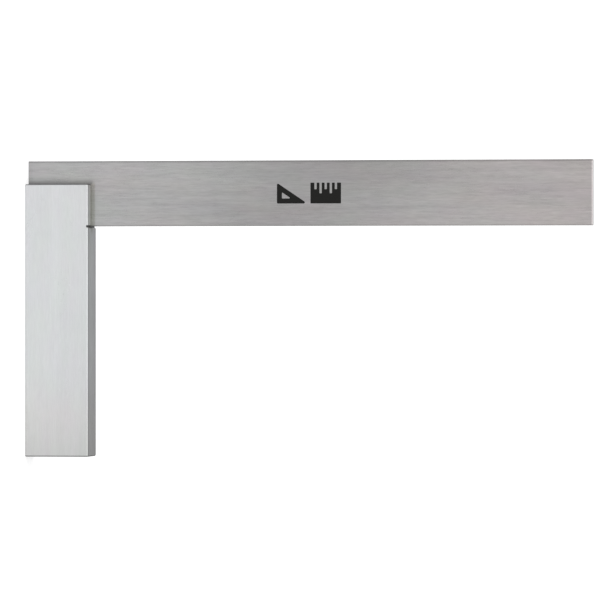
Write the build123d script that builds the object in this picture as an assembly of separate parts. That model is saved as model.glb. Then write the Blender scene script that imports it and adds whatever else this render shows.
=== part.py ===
"""Engineer's square: a ground steel blade pinned in the slot of a thick steel stock.

The square stands as it does on a surface plate, on the outer face of its stock.
X runs along the stock, from the blade to the stock's free end.
Y runs through the thickness, with the middle plane of stock and blade at Y = 0.
Z runs along the blade, from the stock's outer face (Z = 0) up to the blade's tip.
The origin is the middle of the square's footprint.
"""

import os

from build123d import *

# Driving dimensions, in millimetres.
INSIDE_BLADE_LENGTH = 200.0  # from the stock's inner face to the blade's tip: the nominal size
BLADE_WIDTH = 25.8
BLADE_THICKNESS = 3.0
BLADE_EDGE_BREAK = 0.2  # chamfer along the blade's edges, except round its root end
BLADE_PROUD = 9.2  # how far the blade's outer edge stands clear of the stock's slotted end

STOCK_LENGTH = 107.7
STOCK_WIDTH = 25.3
STOCK_THICKNESS = 16.0
STOCK_EDGE_BREAK = 0.25  # chamfer along the stock's four long edges
STOCK_END_BREAK = 0.4  # chamfer round each end of the stock
SLOT_EDGE_BREAK = 0.12  # chamfer along the slot's two lips on the inner face

RELIEF_WIDTH = 0.8  # groove across the stock at the root of the blade, for burrs and grit
RELIEF_OVERLAP = 0.35  # how much of the groove's width lies behind the blade's inner edge
RELIEF_DEPTH = 0.55
RELIEF_EDGE_BREAK = 0.3  # chamfer along the groove's lip, away from the blade

RIVET_DIAMETER = 4.0
RIVET_HEAD_DIAMETER = 5.4  # countersunk heads, ground flush with the stock
RIVET_EDGE_DISTANCE = 6.0  # from the stock's outer and inner faces to the end rivets
RIVET_NAMES = ("rivet_outer", "rivet_middle", "rivet_inner")

# Places worked out from the driving dimensions.
BLADE_LENGTH = STOCK_WIDTH + INSIDE_BLADE_LENGTH
SLOT_DEPTH = BLADE_WIDTH - BLADE_PROUD
OVERALL_LEG = BLADE_PROUD + STOCK_LENGTH
BLADE_OUTER_X = -OVERALL_LEG / 2
BLADE_INNER_X = BLADE_OUTER_X + BLADE_WIDTH
STOCK_SLOTTED_X = BLADE_OUTER_X + BLADE_PROUD
STOCK_FREE_X = OVERALL_LEG / 2
RIVET_X = (STOCK_SLOTTED_X + BLADE_INNER_X) / 2
RIVET_PITCH = (STOCK_WIDTH - 2 * RIVET_EDGE_DISTANCE) / (len(RIVET_NAMES) - 1)
HEAD_DEPTH = (RIVET_HEAD_DIAMETER - RIVET_DIAMETER) / 2  # a 90 degree countersink
OVERRUN = 1.0  # how far a cutter runs past the face that it opens


def block(x_range, y_range, z_range):
    """A box between two planes along each axis."""
    size = [high - low for low, high in (x_range, y_range, z_range)]
    middle = [(high + low) / 2 for low, high in (x_range, y_range, z_range)]
    return Pos(*middle) * Box(*size)


def across(thickness):
    """The range of Y that a thickness takes up about the middle plane."""
    return (-thickness / 2, thickness / 2)


def rivet(height):
    """One rivet at this height: a plain shank with a flush countersunk head at each end."""
    shank = Cylinder(RIVET_DIAMETER / 2, STOCK_THICKNESS)
    head = Cone(RIVET_DIAMETER / 2, RIVET_HEAD_DIAMETER / 2, HEAD_DEPTH)
    head_middle = STOCK_THICKNESS / 2 - HEAD_DEPTH / 2
    upright = shank + Pos(0, 0, head_middle) * head + Pos(0, 0, -head_middle) * Rot(180, 0, 0) * head
    return Pos(RIVET_X, 0, height) * Rot(90, 0, 0) * upright


def rivets():
    """Every rivet by name, evenly spaced across the width of the stock."""
    heights = [RIVET_EDGE_DISTANCE + RIVET_PITCH * i for i in range(len(RIVET_NAMES))]
    return {name: rivet(height) for name, height in zip(RIVET_NAMES, heights)}


def slot_cutter():
    """The slot for the blade, with a small chamfer at each lip on the inner face."""
    slot = block(
        (STOCK_SLOTTED_X - OVERRUN, BLADE_INNER_X),
        across(BLADE_THICKNESS),
        (-OVERRUN, STOCK_WIDTH + OVERRUN),
    )
    lip_half_width = BLADE_THICKNESS / 2 + SLOT_EDGE_BREAK
    lip_outline = Polyline(
        (-lip_half_width, STOCK_WIDTH),
        (lip_half_width, STOCK_WIDTH),
        (0, STOCK_WIDTH - lip_half_width),
        close=True,
    )
    lip_face = Plane.YZ.offset(STOCK_SLOTTED_X - OVERRUN) * make_face(lip_outline)
    return slot + extrude(lip_face, SLOT_DEPTH + OVERRUN)


def relief_cutter():
    """The groove across the stock's inner face, along the root of the blade, with a broken lip."""
    wall_x = BLADE_INNER_X - RELIEF_OVERLAP
    lip_x = wall_x + RELIEF_WIDTH
    section = Polyline(
        (wall_x, STOCK_WIDTH - RELIEF_DEPTH),
        (lip_x, STOCK_WIDTH - RELIEF_DEPTH),
        (lip_x, STOCK_WIDTH - RELIEF_EDGE_BREAK),
        (lip_x + RELIEF_EDGE_BREAK + OVERRUN, STOCK_WIDTH + OVERRUN),
        (wall_x, STOCK_WIDTH + OVERRUN),
        close=True,
    )
    return extrude(Plane.XZ * make_face(section), STOCK_THICKNESS / 2 + OVERRUN, both=True)


def blade(pins):
    """The thin straight leg, with a hole for every rivet and a root end ground flush."""
    bar = block((BLADE_OUTER_X, BLADE_INNER_X), across(BLADE_THICKNESS), (0, BLADE_LENGTH))
    root_edges = bar.faces().sort_by(Axis.Z)[0].edges()
    return chamfer(bar.edges() - root_edges, BLADE_EDGE_BREAK) - pins


def stock(pins):
    """The thick leg, with its slot, its relief groove and a countersunk hole for every rivet."""
    bar = block((STOCK_SLOTTED_X, STOCK_FREE_X), across(STOCK_THICKNESS), (0, STOCK_WIDTH))
    long_edges = bar.edges().filter_by(Axis.X)
    bar = chamfer(bar.edges() - long_edges, STOCK_END_BREAK)
    bar = chamfer(bar.edges().filter_by(Axis.X), STOCK_EDGE_BREAK)
    return bar - slot_cutter() - relief_cutter() - pins


def main():
    pins = rivets()
    nodes = {"blade": blade(list(pins.values())), "stock": stock(list(pins.values())), **pins}
    os.makedirs("parts", exist_ok=True)
    for name, shape in nodes.items():
        export_step(shape, f"parts/{name}.step")


main()
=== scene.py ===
"""The looks of the engineer's square: ground steel, a black mark on the blade, a pale studio.

The frame is the CAD's: Z runs up the blade, X along the stock, Y through the thickness, in metres.
The front, which has the mark, faces -Y. The photograph lays the blade level, so the camera is rolled:
its right is about +Z and its up is -X.
"""

import math

import bmesh
import bpy
from mathutils import Matrix, Vector


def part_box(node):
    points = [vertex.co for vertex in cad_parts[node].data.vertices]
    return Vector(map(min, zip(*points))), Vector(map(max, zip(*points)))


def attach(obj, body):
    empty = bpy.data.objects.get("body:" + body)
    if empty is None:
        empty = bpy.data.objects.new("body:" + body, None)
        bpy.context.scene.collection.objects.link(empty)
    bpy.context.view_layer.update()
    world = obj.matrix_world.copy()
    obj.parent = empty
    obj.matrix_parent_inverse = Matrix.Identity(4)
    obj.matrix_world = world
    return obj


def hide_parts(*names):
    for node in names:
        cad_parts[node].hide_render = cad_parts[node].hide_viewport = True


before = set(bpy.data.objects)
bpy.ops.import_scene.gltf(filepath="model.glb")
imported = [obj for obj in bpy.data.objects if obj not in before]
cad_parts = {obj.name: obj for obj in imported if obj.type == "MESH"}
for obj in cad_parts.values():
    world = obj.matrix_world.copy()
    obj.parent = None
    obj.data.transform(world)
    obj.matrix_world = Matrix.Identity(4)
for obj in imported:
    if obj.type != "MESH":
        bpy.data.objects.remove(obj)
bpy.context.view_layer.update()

MM = 0.001
BODY = "root"
X_AXIS, Y_AXIS, Z_AXIS = Vector((1, 0, 0)), Vector((0, 1, 0)), Vector((0, 0, 1))
WHITE = (1.0, 1.0, 1.0)

blade_low, blade_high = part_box("blade")
stock_low, stock_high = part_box("stock")
blade_middle_x = (blade_low.x + blade_high.x) / 2


# ---------------------------------------------------------------- nodes


class NodeTree:
    """The nodes of a material or world under construction, with a short call for each kind."""

    def __init__(self, owner):
        owner.use_nodes = True
        self.nodes = owner.node_tree.nodes
        self.links = owner.node_tree.links
        self.nodes.clear()

    def feed(self, value, socket):
        """Links an output to a socket, or sets the socket to a plain value."""
        if isinstance(value, bpy.types.NodeSocket):
            self.links.new(value, socket)
        else:
            socket.default_value = value

    def maths(self, operation, *values):
        node = self.nodes.new("ShaderNodeMath")
        node.operation = operation
        for value, socket in zip(values, node.inputs):
            self.feed(value, socket)
        return node.outputs[0]

    def vector_maths(self, operation, first, second):
        """A vector worked out from two others or, for a dot product, a number."""
        node = self.nodes.new("ShaderNodeVectorMath")
        node.operation = operation
        self.feed(first, node.inputs[0])
        self.feed(second, node.inputs[1])
        return node.outputs["Value" if operation == "DOT_PRODUCT" else "Vector"]

    def is_camera_ray(self):
        """1 for what the camera sees directly, 0 for light and reflections."""
        return self.nodes.new("ShaderNodeLightPath").outputs["Is Camera Ray"]


class Shader(NodeTree):
    """A material under construction, whose colour and wear follow the place on the surface."""

    def __init__(self, name):
        self.material = bpy.data.materials.new(name)
        super().__init__(self.material)
        self.spot = self.nodes.new("ShaderNodeTexCoord").outputs["Object"]

    def axis(self, name):
        """One coordinate of the surface, in metres."""
        node = self.nodes.new("ShaderNodeSeparateXYZ")
        self.feed(self.spot, node.inputs[0])
        return node.outputs[name]

    def distance(self, name, plane):
        """How far the surface is from a plane square to an axis, on either side."""
        return self.maths("ABSOLUTE", self.maths("SUBTRACT", self.axis(name), plane))

    def beyond(self, name, plane, sign):
        """How far the surface lies past a plane, on its positive or negative side, and 0 before it."""
        past = self.maths("MULTIPLY", self.maths("SUBTRACT", self.axis(name), plane), sign)
        return self.maths("MAXIMUM", past, 0.0)

    def near(self, name, plane, reach):
        """1 on a plane square to an axis, falling evenly to 0 at this distance from it."""
        share = self.maths("DIVIDE", self.distance(name, plane), reach)
        return self.maths("MAXIMUM", self.maths("SUBTRACT", 1.0, share), 0.0)

    def below(self, name, limit):
        """1 where a coordinate is below the limit, and 0 elsewhere."""
        return self.maths("LESS_THAN", self.axis(name), limit)

    def above(self, name, limit):
        """1 where a coordinate is above the limit, and 0 elsewhere."""
        return self.maths("GREATER_THAN", self.axis(name), limit)

    def between(self, name, low, high):
        """1 where a coordinate lies between two limits, and 0 elsewhere."""
        return self.maths("MULTIPLY", self.above(name, low), self.below(name, high))

    def squared(self, value):
        return self.maths("MULTIPLY", value, value)

    def fade(self, distance, reach):
        """1 where the distance is 0, falling like a bell to nearly 0 at twice the reach."""
        share = self.maths("DIVIDE", distance, reach)
        return self.maths("EXPONENT", self.maths("MULTIPLY", self.squared(share), -1.0))

    def ramp(self, value, start, end):
        """0 at the start, rising evenly to 1 at the end, and no further on either side."""
        node = self.nodes.new("ShaderNodeMapRange")
        self.feed(value, node.inputs["Value"])
        node.inputs["From Min"].default_value = start
        node.inputs["From Max"].default_value = end
        return node.outputs["Result"]

    def noise(self, size, detail=2.0, roughness=0.5, distortion=0.0):
        """Noise from 0 to 1 whose features are this big along X, Y and Z, in metres."""
        mapping = self.nodes.new("ShaderNodeMapping")
        self.feed(self.spot, mapping.inputs["Vector"])
        mapping.inputs["Scale"].default_value = [1 / length for length in size]
        node = self.nodes.new("ShaderNodeTexNoise")
        node.inputs["Scale"].default_value = 1.0
        node.inputs["Detail"].default_value = detail
        node.inputs["Roughness"].default_value = roughness
        node.inputs["Distortion"].default_value = distortion
        self.feed(mapping.outputs["Vector"], node.inputs["Vector"])
        return node.outputs["Fac"]

    def swing(self, *terms):
        """1 plus each noise's swing about its middle, for (noise, amount) terms."""
        total = 1.0
        for noise, amount in terms:
            middled = self.maths("SUBTRACT", noise, 0.5)
            total = self.maths("MULTIPLY_ADD", middled, amount, total)
        return total

    def left_by(self, *terms):
        """The share of light left by several kinds of painted shade, painted highlights, grime and wear,
        for (where, strength) terms.

        A strength below 0 makes its place brighter."""
        light = 1.0
        for where, strength in terms:
            share = self.maths("MULTIPLY_ADD", where, -strength, 1.0)
            light = self.maths("MULTIPLY", light, share)
        return light

    def mix(self, factor, first, second):
        """A blend of two plain colours."""
        node = self.nodes.new("ShaderNodeMix")
        node.data_type = "RGBA"
        self.feed(factor, node.inputs["Factor"])
        self.feed((*first, 1.0), node.inputs["A"])
        self.feed((*second, 1.0), node.inputs["B"])
        return node.outputs["Result"]

    def scaled(self, vector, factor):
        """A colour or direction, multiplied by a number."""
        node = self.nodes.new("ShaderNodeVectorMath")
        node.operation = "SCALE"
        self.feed(vector, node.inputs["Vector"])
        self.feed(factor, node.inputs["Scale"])
        return node.outputs["Vector"]

    def bump(self, height, strength, depth):
        node = self.nodes.new("ShaderNodeBump")
        node.inputs["Strength"].default_value = strength
        node.inputs["Distance"].default_value = depth
        self.feed(height, node.inputs["Height"])
        return node.outputs["Normal"]

    def surface(self, **inputs):
        """The finished material, whose surface shader has these inputs set or linked."""
        shader = self.nodes.new("ShaderNodeBsdfPrincipled")
        for name, value in inputs.items():
            self.feed(value, shader.inputs[name.replace("_", " ")])
        output = self.nodes.new("ShaderNodeOutputMaterial")
        self.links.new(shader.outputs["BSDF"], output.inputs["Surface"])
        return self.material


# ---------------------------------------------------------------- ground steel

# The marks of the grinding and of age: their length along the grain and width across it.
STREAK = (4.5 * MM, 0.42 * MM)
SCRATCH = (16 * MM, 0.9 * MM)
BAND = (60 * MM, 3 * MM)
CLOUD = (26 * MM, 12 * MM)
BLOTCH = (24 * MM, 9 * MM)
STAIN = (17 * MM, 7 * MM)

# How far these marks swing the steel's tone, at full contrast, and its roughness and hue.
STREAK_TONE, SCRATCH_TONE, BAND_TONE, CLOUD_TONE = 0.42, 0.20, 0.22, 0.15
STREAK_ROUGHNESS, CLOUD_ROUGHNESS = 0.35, 0.25
BLOTCH_HUE = 1.1

# How warm the hue is where its reach starts, and how much warmer where it ends.
WARMTH_AT_START, WARMTH_RISE = 0.10, 0.85

# The faint stains that handling leaves on bare steel, as shares of its colour, and the values of their
# noise at which they are all rose and all olive. Grime is browner.
ROSE_TINT = (1.007, 0.989, 1.006)
OLIVE_TINT = (0.995, 1.011, 0.990)
STAIN_ROSE, STAIN_OLIVE = 0.3, 0.7
STAIN_DISTORTION = 0.4
GRIME_TINT = (1.0, 0.995, 0.93)

STREAK_FINENESS = 0.6  # how strong the fine detail of the streaks is
CLOUD_DETAIL = 3.0
STREAK_BUMP = 0.25
STREAK_DEPTH = 0.004 * MM
GRAIN_ANISOTROPY = 0.75
END_FACE_COSINE = 0.9  # from here on a face meets the grain head on


def along(grain, length, width):
    """The size of a mark of this length along the grain and this width across it."""
    return [length if axis else width for axis in grain]


def across_grain(shader, grain):
    """The direction in the surface at right angles to the grain, which a highlight spreads along.

    An end face, which the grain meets head on, is ground along the thickness instead."""
    normal = shader.nodes.new("ShaderNodeNewGeometry").outputs["Normal"]
    side = shader.vector_maths("CROSS_PRODUCT", normal, tuple(grain))
    end = shader.vector_maths("CROSS_PRODUCT", normal, tuple(Y_AXIS))
    head_on = shader.maths("ABSOLUTE", shader.vector_maths("DOT_PRODUCT", normal, tuple(grain)))
    is_end = shader.maths("GREATER_THAN", head_on, END_FACE_COSINE)
    return shader.vector_maths("ADD", side, shader.scaled(end, is_end))


def steel_hue(shader, grain, reach, cool, warm):
    """A colour that warms along its reach, in blotches, with faint stains."""
    travelled = shader.ramp(shader.vector_maths("DOT_PRODUCT", shader.spot, tuple(grain)), *reach)
    warmth = shader.maths("MULTIPLY_ADD", shader.squared(travelled), WARMTH_RISE, WARMTH_AT_START)
    blotch = shader.noise(along(grain, *BLOTCH))
    blotchy = shader.maths("MULTIPLY_ADD", blotch, BLOTCH_HUE, -BLOTCH_HUE / 2)
    stain = shader.noise(along(grain, *STAIN), distortion=STAIN_DISTORTION)
    tint = shader.mix(shader.ramp(stain, STAIN_ROSE, STAIN_OLIVE), ROSE_TINT, OLIVE_TINT)
    hue = shader.maths("ADD", warmth, blotchy)
    return shader.vector_maths("MULTIPLY", shader.mix(hue, cool, warm), tint)


def ground_steel(name, grain, reach, cool, warm, roughness, contrast, painted_light_and_grime=None):
    """Surface-ground steel, with streaks, scratches and bands along the grain, and clouds.

    Its hue goes from cool to warm over the reach, two distances along the grain. The last argument gives
    two values
    from the shader under construction: the share of light left by painted shade, painted highlights and
    grime, and how brown the grime is."""
    shader = Shader(name)
    streak = shader.noise(along(grain, *STREAK), roughness=STREAK_FINENESS)
    cloud = shader.noise(along(grain, *CLOUD), detail=CLOUD_DETAIL)
    tone = shader.swing(
        (streak, STREAK_TONE * contrast),
        (shader.noise(along(grain, *SCRATCH)), SCRATCH_TONE * contrast),
        (shader.noise(along(grain, *BAND)), BAND_TONE * contrast),
        (cloud, CLOUD_TONE * contrast),
    )
    rough = shader.swing((streak, STREAK_ROUGHNESS), (cloud, CLOUD_ROUGHNESS))
    colour = steel_hue(shader, grain, reach, cool, warm)
    if painted_light_and_grime:
        # Painted shade and highlights, with grime, scale the tone; the grime also browns the colour.
        light, grime = painted_light_and_grime(shader)
        tone = shader.maths("MULTIPLY", tone, light)
        colour = shader.vector_maths("MULTIPLY", colour, shader.mix(grime, WHITE, GRIME_TINT))
    return shader.surface(
        Base_Color=shader.scaled(colour, tone),
        Metallic=1.0,
        Roughness=shader.maths("MULTIPLY", roughness, rough),
        Anisotropic=GRAIN_ANISOTROPY,
        Tangent=across_grain(shader, grain),
        Normal=shader.bump(streak, STREAK_BUMP, STREAK_DEPTH),
    )


# ---------------------------------------------------------------- painted light and grime on the blade
# A strength here and below is the share of light that painted shade, painted highlights and grime take
# from the steel.

# Painted shade, partly grime, on the blade round the stock: beside its inner face, and how much more
# over its slotted end.
CORNER_SHADE_AND_GRIME, CORNER_SHADE_AND_GRIME_MORE = 0.02, 0.42
CORNER_REACH, CORNER_REACH_MORE = 0.38 * MM, 1.02 * MM
NEVER_ZERO = 0.01 * MM  # keeps a divisor above 0

# A faint band beside the stock's inner face: a painted dark reflection of the stock's side, tinted brown
# as grime. It is at full strength up to one distance and gone at the other.
BESIDE_STOCK = 0.11
BESIDE_STOCK_FULL, BESIDE_STOCK_GONE = 1.45 * MM, 1.75 * MM

# Painted shade along the long edges, darkest at the very edge.
OUTER_EDGE_SHADE, OUTER_EDGE_SHADE_REACH = 0.45, 0.9 * MM
INNER_EDGE_SHADE, INNER_EDGE_SHADE_REACH = 0.32, 0.6 * MM

# A painted dark reflection halfway up the blade.
PAINTED_DARK_REFLECTION = 0.21
PAINTED_DARK_REFLECTION_MIDDLE = 112 * MM
PAINTED_DARK_REFLECTION_REACH = 47 * MM
PAINTED_DARK_REFLECTION_SLANT = 0.8  # how far it shifts up the blade for each metre towards the outer edge
PAINTED_DARK_REFLECTION_LEAN = 14.0  # how much deeper it gets for each metre of that shift

# A painted highlight on the end face of the tip with its chamfer.
TIP_PAINTED_HIGHLIGHT, TIP_HIGHLIGHT_REACH = 0.75, 0.22 * MM


def corner_shade_and_grime(shader):
    """How much light the painted shade and grime take where the blade leaves the stock, and the band of
    painted reflection beside it.
    """
    over_end = shader.beyond("X", stock_low.x, -1)
    over_inner = shader.beyond("Z", stock_high.z, 1)
    distance = shader.maths(
        "SQRT",
        shader.maths("ADD", shader.squared(over_end), shader.squared(over_inner)),
    )
    end_share = shader.maths("DIVIDE", over_end, shader.maths("ADD", distance, NEVER_ZERO))
    depth = shader.maths("MULTIPLY_ADD", end_share, CORNER_SHADE_AND_GRIME_MORE, CORNER_SHADE_AND_GRIME)
    reach = shader.maths("MULTIPLY_ADD", end_share, CORNER_REACH_MORE, CORNER_REACH)
    corner = shader.maths("MULTIPLY", shader.fade(distance, reach), depth)
    beside = shader.maths("SUBTRACT", 1.0, end_share)
    close = shader.ramp(distance, BESIDE_STOCK_GONE, BESIDE_STOCK_FULL)
    return corner, shader.maths("MULTIPLY", close, beside)


def painted_dark_reflection(shader):
    """A painted dark reflection on the blade: a slanting stretch, deeper at the outer edge."""
    aslant = shader.maths("SUBTRACT", shader.axis("X"), blade_middle_x)
    aslant = shader.maths("MULTIPLY", aslant, PAINTED_DARK_REFLECTION_SLANT)
    up_blade = shader.maths("ADD", shader.axis("Z"), aslant)
    from_middle = shader.maths("ABSOLUTE", shader.maths("SUBTRACT", up_blade, PAINTED_DARK_REFLECTION_MIDDLE))
    leaning = shader.maths("MULTIPLY_ADD", aslant, -PAINTED_DARK_REFLECTION_LEAN, 1.0)
    return shader.maths("MULTIPLY", shader.fade(from_middle, PAINTED_DARK_REFLECTION_REACH), leaning)


def blade_painted_light_and_grime(shader):
    """Painted shade, partly grime, round the stock; painted shade along the long edges; a painted dark
    reflection halfway up; and a painted highlight on the tip.
    """
    corner, beside_stock = corner_shade_and_grime(shader)
    light = shader.left_by(
        (corner, 1.0),
        (beside_stock, BESIDE_STOCK),
        (shader.near("X", blade_low.x, OUTER_EDGE_SHADE_REACH), OUTER_EDGE_SHADE),
        (shader.near("X", blade_high.x, INNER_EDGE_SHADE_REACH), INNER_EDGE_SHADE),
        (painted_dark_reflection(shader), PAINTED_DARK_REFLECTION),
        (shader.above("Z", blade_high.z - TIP_HIGHLIGHT_REACH), -TIP_PAINTED_HIGHLIGHT),
    )
    return light, beside_stock


# ---------------------------------------------------------------- painted shade and grime on the stock

# Painted shade, partly grime, where the stock meets the blade.
SLOT_SHADE_AND_GRIME, SLOT_SHADE_AND_GRIME_REACH = 0.26, 1.8 * MM

# Painted shade, partly grime, in the relief groove, which takes in the groove's walls and floor.
GROOVE_SHADE_AND_GRIME = 0.82
GROOVE_HALF = 0.43 * MM
GROOVE_SHALLOWEST, GROOVE_DEEPEST = 0.05 * MM, 0.58 * MM
groove_middle = blade_high.x + 0.05 * MM

# Painted shade on the milled ends, with their chamfers.
SLOTTED_END_SHADE, SLOTTED_END_SHADE_REACH = 0.66, 0.31 * MM
FREE_END_SHADE, FREE_END_SHADE_REACH = 0.60, 0.45 * MM

# Painted shade as light falls off along the stock: deepening towards the free end, and a step darker
# past the middle. And slightly darker towards the inner face.
PAINTED_SHADE_ALONG, PAINTED_SHADE_ALONG_FROM = 0.15, 10 * MM
PAINTED_SHADE_STEP, PAINTED_SHADE_STEP_FROM, PAINTED_SHADE_STEP_TO = 0.022, -8 * MM, 6 * MM
INNER_SIDE, INNER_SIDE_FROM = 0.022, 12 * MM

# Painted shade on the rims of the four narrow faces, beside their chamfers.
NARROW_FACE_SHADE, NARROW_FACE_SHADE_WIDTH = 0.25, 3.0 * MM
CHAMFER_WIDTH = 0.27 * MM


def slot_shade_and_grime(shader):
    """Painted shade, partly grime, on the stock's faces, deepest where they meet the blade."""
    in_front = shader.maths("SUBTRACT", shader.distance("Y", 0.0), blade_high.y)
    past_blade = shader.beyond("X", blade_high.x, 1)
    return shader.fade(shader.maths("ADD", in_front, past_blade), SLOT_SHADE_AND_GRIME_REACH)


def groove_shade_and_grime(shader):
    """The inside of the relief groove."""
    across = shader.between("X", groove_middle - GROOVE_HALF, groove_middle + GROOVE_HALF)
    deep = shader.between("Z", stock_high.z - GROOVE_DEEPEST, stock_high.z - GROOVE_SHALLOWEST)
    return shader.maths("MULTIPLY", across, deep)


def narrow_face_shade(shader):
    """Painted shade on the outer strips of the narrow faces, darkening towards the chamfers but not on
    them.
    """
    off_middle = shader.distance("Y", 0.0)
    rim = shader.ramp(off_middle, stock_high.y - NARROW_FACE_SHADE_WIDTH, stock_high.y)
    narrow = shader.maths("LESS_THAN", off_middle, stock_high.y - CHAMFER_WIDTH)
    return shader.maths("MULTIPLY", rim, narrow)


def stock_painted_shade_and_grime(shader):
    """Painted shade, partly grime, along the slot and in the relief groove; painted shade on the milled
    ends, the narrow faces' rims and towards the free end; slightly darker towards the inner face.
    """
    slot = slot_shade_and_grime(shader)
    light = shader.left_by(
        (slot, SLOT_SHADE_AND_GRIME),
        (groove_shade_and_grime(shader), GROOVE_SHADE_AND_GRIME),
        (shader.below("X", stock_low.x + SLOTTED_END_SHADE_REACH), SLOTTED_END_SHADE),
        (shader.above("X", stock_high.x - FREE_END_SHADE_REACH), FREE_END_SHADE),
        (shader.squared(shader.ramp(shader.axis("X"), PAINTED_SHADE_ALONG_FROM, stock_high.x)), PAINTED_SHADE_ALONG),
        (shader.ramp(shader.axis("X"), PAINTED_SHADE_STEP_FROM, PAINTED_SHADE_STEP_TO), PAINTED_SHADE_STEP),
        (shader.ramp(shader.axis("Z"), INNER_SIDE_FROM, stock_high.z), INNER_SIDE),
        (narrow_face_shade(shader), NARROW_FACE_SHADE),
    )
    return light, slot


# ---------------------------------------------------------------- black mark

ETCHED_COLOUR = (0.0065, 0.0065, 0.0055)
ETCHED_ROUGHNESS = 0.6
ETCHED_SPECULAR = 0.22
ETCHED_STREAK = (12 * MM, 0.3 * MM)
ETCHED_STREAK_SWING = 0.5
ETCHED_STREAK_BUMP = 0.2


def etched_black(name):
    """The mark: matt black with the steel's grain just showing through."""
    shader = Shader(name)
    streak = shader.noise(along(Z_AXIS, *ETCHED_STREAK))
    tone = shader.swing((streak, ETCHED_STREAK_SWING))
    return shader.surface(
        Base_Color=shader.scaled(ETCHED_COLOUR, tone),
        Roughness=shader.maths("MULTIPLY", ETCHED_ROUGHNESS, tone),
        Specular_IOR_Level=ETCHED_SPECULAR,
        Normal=shader.bump(streak, ETCHED_STREAK_BUMP, STREAK_DEPTH),
    )


# ---------------------------------------------------------------- pieces

# Rounding of the machined edges.
EDGE_ROUND = 0.07 * MM
EDGE_SEGMENTS = 3
SHARP_EDGE = math.radians(25)
COPLANAR = math.radians(0.5)
WELD = 0.001 * MM


def place(name, mesh, material):
    """A new piece of the square, riding on its only body."""
    piece = bpy.data.objects.new(name, mesh)
    bpy.context.scene.collection.objects.link(piece)
    mesh.materials.clear()
    mesh.materials.append(material)
    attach(piece, BODY)
    return piece


def softened(name, node, material):
    """The CAD node's own shape, with every machined edge slightly rounded as a stone leaves it.

    The weld closes the points that coincide where three rounded edges meet."""
    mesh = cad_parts[node].data.copy()
    work = bmesh.new()
    work.from_mesh(mesh)
    bmesh.ops.remove_doubles(work, verts=work.verts, dist=WELD)
    bmesh.ops.dissolve_limit(work, angle_limit=COPLANAR, verts=work.verts, edges=work.edges)
    work.to_mesh(mesh)
    work.free()
    piece = place(name, mesh, material)
    bevel = piece.modifiers.new("edge_round", "BEVEL")
    bevel.limit_method = "ANGLE"
    bevel.angle_limit = SHARP_EDGE
    bevel.width = EDGE_ROUND
    bevel.segments = EDGE_SEGMENTS
    bevel.harden_normals = True
    weld = piece.modifiers.new("weld", "WELD")
    weld.merge_threshold = WELD
    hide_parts(node)


# The mark on the blade: a set square and a ruler, drawn in millimetres from the middle of the mark.
MARK_HALF_HEIGHT = 4.1
MARK_CORNER = 0.45
CORNER_STEPS = 5
SET_SQUARE_LEFT, SET_SQUARE_RIGHT = -12.8, -0.6
SET_SQUARE_WEB = 2.0
RULER_LEFT, RULER_RIGHT = 0.6, 12.8
RULER_NOTCHES = 5
NOTCH_WIDTH = 0.9
NOTCH_LONG, NOTCH_SHORT = 4.2, 2.6

# Where the mark is, in metres.
MARK_HEIGHT_UP_BLADE = 112.9 * MM
MARK_THICKNESS = 0.03 * MM
MARK_SUNK = 0.01 * MM


def rounded(corners, radius):
    """A closed outline with each corner turned by a small arc."""
    outline = []
    for i, corner in enumerate(corners):
        corner = Vector(corner)
        before = (Vector(corners[i - 1]) - corner).normalized()
        after = (Vector(corners[(i + 1) % len(corners)]) - corner).normalized()
        half_angle = before.angle(after) / 2
        centre = corner + (before + after).normalized() * radius / math.sin(half_angle)
        to_tangent = radius / math.tan(half_angle)
        first_arm = corner + before * to_tangent - centre
        last_arm = corner + after * to_tangent - centre
        turn = -first_arm.angle_signed(last_arm)
        for step in range(CORNER_STEPS + 1):
            outline.append(centre + Matrix.Rotation(turn * step / CORNER_STEPS, 2) @ first_arm)
    return outline


def set_square_outlines():
    """A right-angled triangle with a smaller one cut out of it, and the same web on all three sides."""
    left, right, top, bottom = SET_SQUARE_LEFT, SET_SQUARE_RIGHT, MARK_HALF_HEIGHT, -MARK_HALF_HEIGHT
    width, height = right - left, top - bottom
    slope = math.hypot(width, height)
    inner_left, inner_bottom = left + SET_SQUARE_WEB, bottom + SET_SQUARE_WEB
    inner_width = width - SET_SQUARE_WEB * (slope + width + height) / height
    inner_height = inner_width * height / width
    outer = [(left, bottom), (right, bottom), (left, top)]
    inner = [
        (inner_left, inner_bottom),
        (inner_left + inner_width, inner_bottom),
        (inner_left, inner_bottom + inner_height),
    ]
    return [rounded(outer, MARK_CORNER), rounded(inner, MARK_CORNER / 2)]


def ruler_outlines():
    """A bar whose top edge has short and long notches by turns."""
    left, right, top, bottom = RULER_LEFT, RULER_RIGHT, MARK_HALF_HEIGHT, -MARK_HALF_HEIGHT
    corners = [(left, bottom), (right, bottom), (right, top)]
    pitch = (right - left) / (RULER_NOTCHES + 1)
    for i in reversed(range(RULER_NOTCHES)):
        middle = left + pitch * (i + 1)
        foot = top - (NOTCH_SHORT if i % 2 == 0 else NOTCH_LONG)
        corners += [
            (middle + NOTCH_WIDTH / 2, top),
            (middle + NOTCH_WIDTH / 2, foot),
            (middle - NOTCH_WIDTH / 2, foot),
            (middle - NOTCH_WIDTH / 2, top),
        ]
    corners.append((left, top))
    return [rounded(corners, MARK_CORNER / 2)]


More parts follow.
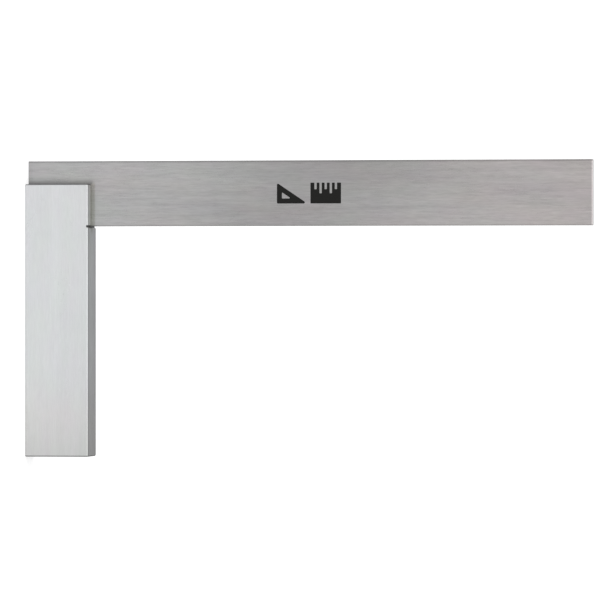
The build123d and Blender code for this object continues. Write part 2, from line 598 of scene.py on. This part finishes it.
def filled(name, outlines):
    """A thin flat mesh, closed all round, whose outline is the first one, less those inside it."""
    drawing = bpy.data.curves.new(name, "CURVE")
    drawing.dimensions = "2D"
    drawing.fill_mode = "BOTH"
    drawing.extrude = MARK_THICKNESS / 2
    for outline in outlines:
        line = drawing.splines.new("POLY")
        line.points.add(len(outline) - 1)
        for spot, point in zip(line.points, outline):
            spot.co = (point.x * MM, point.y * MM, 0, 1)
        line.use_cyclic_u = True
    pattern = bpy.data.objects.new(name + "_drawing", drawing)
    mesh = bpy.data.meshes.new_from_object(pattern)
    bpy.data.objects.remove(pattern)
    bpy.data.curves.remove(drawing)
    mesh.name = name
    work = bmesh.new()
    work.from_mesh(mesh)
    bmesh.ops.remove_doubles(work, verts=work.verts, dist=WELD)
    bmesh.ops.recalc_face_normals(work, faces=work.faces)
    work.to_mesh(mesh)
    work.free()
    return mesh


def mark(name, outlines, material):
    """One closed black shape of these outlines, lying on the front of the blade."""
    mesh = filled(name, outlines)
    middle = Vector((blade_middle_x, blade_low.y - MARK_THICKNESS / 2 + MARK_SUNK, MARK_HEIGHT_UP_BLADE))
    turn = Matrix((Z_AXIS, -X_AXIS, -Y_AXIS)).transposed()
    mesh.transform(Matrix.Translation(middle) @ turn.to_4x4())
    place(name, mesh, material)


blade_steel = ground_steel(
    "blade_steel",
    grain=Z_AXIS,
    reach=(blade_low.z, blade_high.z),
    cool=(0.436, 0.437, 0.438),
    warm=(0.482, 0.450, 0.447),
    roughness=0.29,
    contrast=0.95,
    painted_light_and_grime=blade_painted_light_and_grime,
)
stock_steel = ground_steel(
    "stock_steel",
    grain=X_AXIS,
    reach=(18 * MM, 42 * MM),
    cool=(0.688, 0.706, 0.716),
    warm=(0.706, 0.706, 0.705),
    roughness=0.30,
    contrast=0.36,
    painted_light_and_grime=stock_painted_shade_and_grime,
)
rivet_steel = ground_steel(
    "rivet_steel",
    grain=X_AXIS,
    reach=(stock_low.x, stock_high.x),
    cool=(0.682, 0.700, 0.710),
    warm=(0.698, 0.700, 0.698),
    roughness=0.30,
    contrast=0.36,
)
black = etched_black("etched_black")

softened("blade_ground", "blade", blade_steel)
softened("stock_ground", "stock", stock_steel)
for rivet in ("rivet_outer", "rivet_middle", "rivet_inner"):
    rivet_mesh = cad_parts[rivet].data
    rivet_mesh.materials.clear()
    rivet_mesh.materials.append(rivet_steel)
mark("mark_set_square", set_square_outlines(), black)
mark("mark_ruler", ruler_outlines(), black)


# ---------------------------------------------------------------- studio


def area_light(name, place_at, target, size, power):
    """A softbox of this width and height, in metres, that faces a point."""
    data = bpy.data.lights.new(name, "AREA")
    data.shape = "RECTANGLE"
    data.size, data.size_y = size
    data.energy = power
    light = bpy.data.objects.new(name, data)
    bpy.context.scene.collection.objects.link(light)
    light.location = place_at
    light.rotation_mode = "QUATERNION"
    light.rotation_quaternion = (Vector(target) - Vector(place_at)).to_track_quat("-Z", "Y")
    light.visible_camera = False


def studio_world(seen, ambient, glows):
    """White behind the object, and a soft grey room for it to reflect.

    Each glow is a broad patch of light on the room's wall: (direction, sharpness, radiance). Below 0,
    its radiance makes the patch darker than the room."""
    world = bpy.data.worlds.new("studio")
    bpy.context.scene.world = world
    tree = NodeTree(world)
    looking = tree.nodes.new("ShaderNodeTexCoord").outputs["Generated"]
    radiance = ambient
    for direction, sharpness, strength in glows:
        towards = tree.vector_maths("DOT_PRODUCT", looking, tuple(Vector(direction).normalized()))
        fall = tree.maths("EXPONENT", tree.maths("MULTIPLY_ADD", towards, sharpness, -sharpness))
        radiance = tree.maths("MULTIPLY_ADD", fall, strength, radiance)
    shown = tree.nodes.new("ShaderNodeMix")
    tree.feed(tree.is_camera_ray(), shown.inputs["Factor"])
    tree.feed(radiance, shown.inputs["A"])
    tree.feed(seen, shown.inputs["B"])
    background = tree.nodes.new("ShaderNodeBackground")
    background.inputs["Color"].default_value = (*WHITE, 1.0)
    tree.feed(shown.outputs["Result"], background.inputs["Strength"])
    output = tree.nodes.new("ShaderNodeOutputWorld")
    tree.links.new(background.outputs["Background"], output.inputs["Surface"])


def white_floor(size, glow, camera_glow):
    """A plain white floor under the square, lit from within so that it stays white to the horizon."""
    shader = Shader("floor_white")
    material = shader.surface(
        Base_Color=(0.8, 0.8, 0.8, 1.0),
        Roughness=0.9,
        Specular_IOR_Level=0.0,
        Emission_Color=(*WHITE, 1.0),
        Emission_Strength=shader.maths("MULTIPLY_ADD", shader.is_camera_ray(), camera_glow, glow),
    )
    half = size / 2
    corners = [(-half, -half, 0), (half, -half, 0), (half, half, 0), (-half, half, 0)]
    mesh = bpy.data.meshes.new("floor")
    mesh.from_pydata(corners, [], [range(len(corners))])
    mesh.materials.append(material)
    floor = bpy.data.objects.new("floor", mesh)
    bpy.context.scene.collection.objects.link(floor)


white_floor(size=8.0, glow=0.35, camera_glow=0.2)
studio_world(
    seen=1.05,
    ambient=0.42,
    glows=[
        ((0, -1, 0.5), 4.0, 0.69),  # a bright wall in front, high up
        ((0, -1, -0.09), 60.0, -0.21),  # a small dim patch on it, low down
        ((0, 0, 1), 2.5, 0.35),  # the ceiling
        ((-1, 0, 0), 3.0, -0.30),  # dimmer walls on the blade's side,
        ((1, 0, 0), 3.0, -0.22),  # on the stock's side,
        ((0, 1, 0.1), 3.0, -0.165),  # and behind
    ],
)
area_light("overhead", place_at=(-0.3, -0.2, 1.3), target=(0, 0, 0.1), size=(1.4, 1.4), power=4)


# ---------------------------------------------------------------- camera

# The camera of the photograph: far off, and a little round from square on, towards the blade's tip.
CAMERA_LENS = 373.0
CAMERA_SENSOR = 36.0
CAMERA_DISTANCE = 2500 * MM  # from the lens to the plane of the stock's front face
CAMERA_TURN = math.radians(10.05)
CAMERA_AIM_UP = 113.48 * MM
CAMERA_AIM_ALONG = -0.535 * MM


def photo_camera():
    """Looks past the front faces from the blade tip's side, rolled so that the blade lies level."""
    data = bpy.data.cameras.new("camera")
    data.lens = CAMERA_LENS
    data.sensor_width = CAMERA_SENSOR
    camera = bpy.data.objects.new("camera", data)
    bpy.context.scene.collection.objects.link(camera)
    right = Y_AXIS * math.sin(CAMERA_TURN) + Z_AXIS * math.cos(CAMERA_TURN)
    up = -X_AXIS
    back = right.cross(up)
    aim = Vector((CAMERA_AIM_ALONG, stock_low.y, CAMERA_AIM_UP))
    turn = Matrix((right, up, back)).transposed()
    camera.matrix_world = Matrix.Translation(aim + back * CAMERA_DISTANCE) @ turn.to_4x4()
    bpy.context.scene.camera = camera


photo_camera()
bpy.context.scene.view_settings.view_transform = "Standard"
